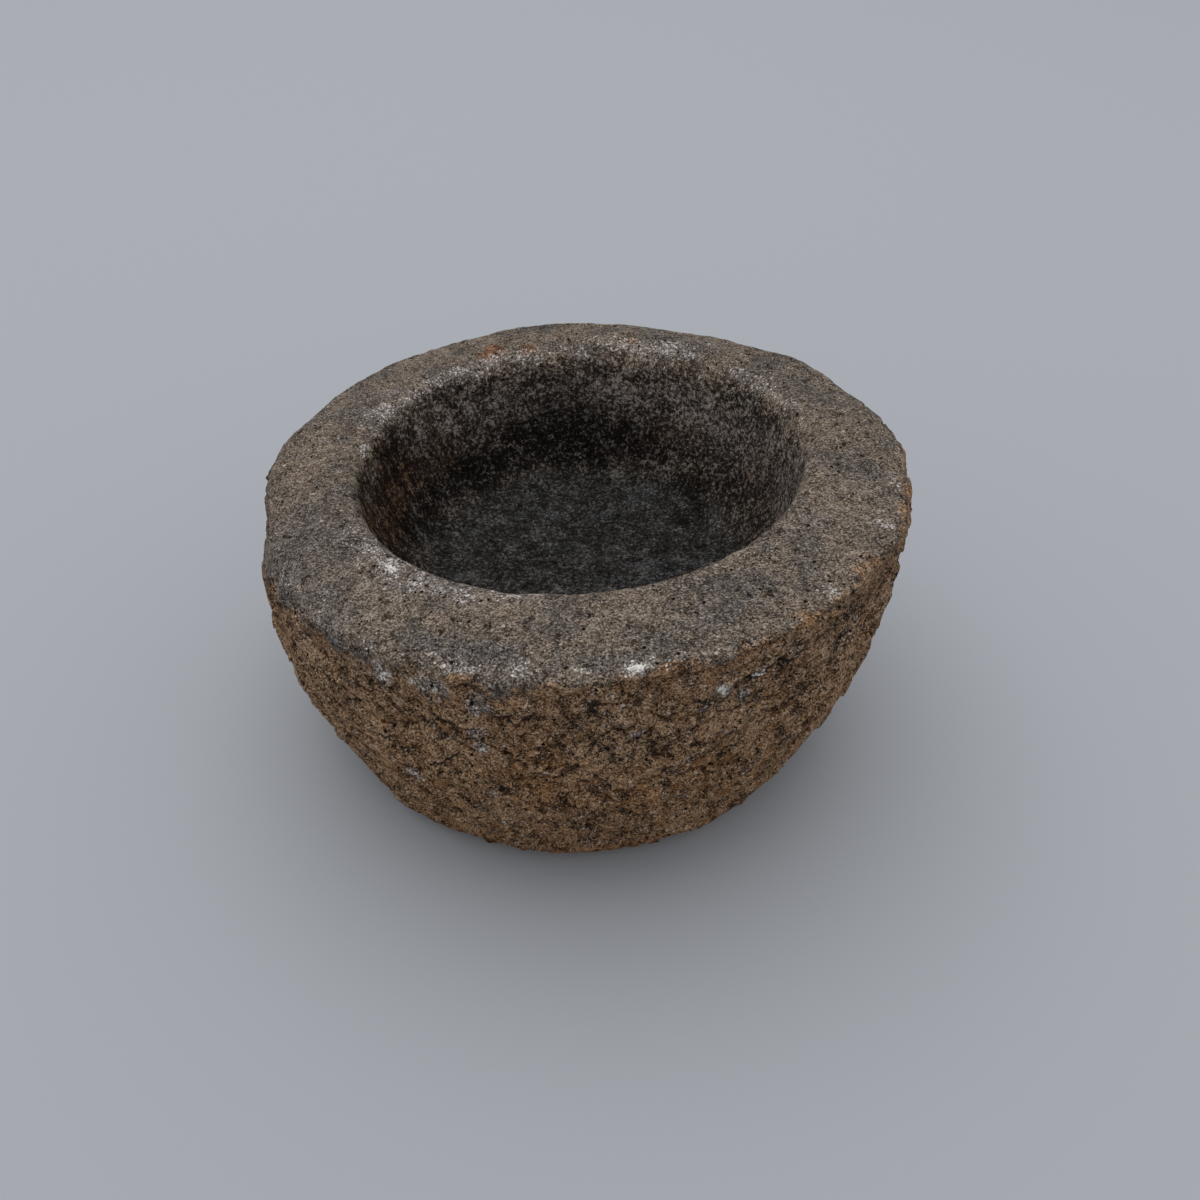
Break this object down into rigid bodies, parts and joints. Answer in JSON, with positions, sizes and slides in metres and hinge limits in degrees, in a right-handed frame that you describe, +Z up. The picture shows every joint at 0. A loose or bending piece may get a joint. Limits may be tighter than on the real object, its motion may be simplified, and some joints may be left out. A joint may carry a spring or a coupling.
{
  "type": "stone mortar",
  "caption": "Round, thick-walled stone mortar with a broad worn rim and a deep hollow for pounding and grinding food or grain.",
  "frame": {"origin": "under the middle of the bowl's bounding box, on the surface it stands on", "axes": "+Z up out of the hollow; +X towards the side where the rim is highest; -Y towards the side with the widest rim"},
  "size_m": [0.3362, 0.3332, 0.1738],
  "materials": {
    "lava_stone": "matte"
  },
  "bodies": {
    "root": {"mortar_bowl": "lava_stone"}
  },
  "joints": []
}
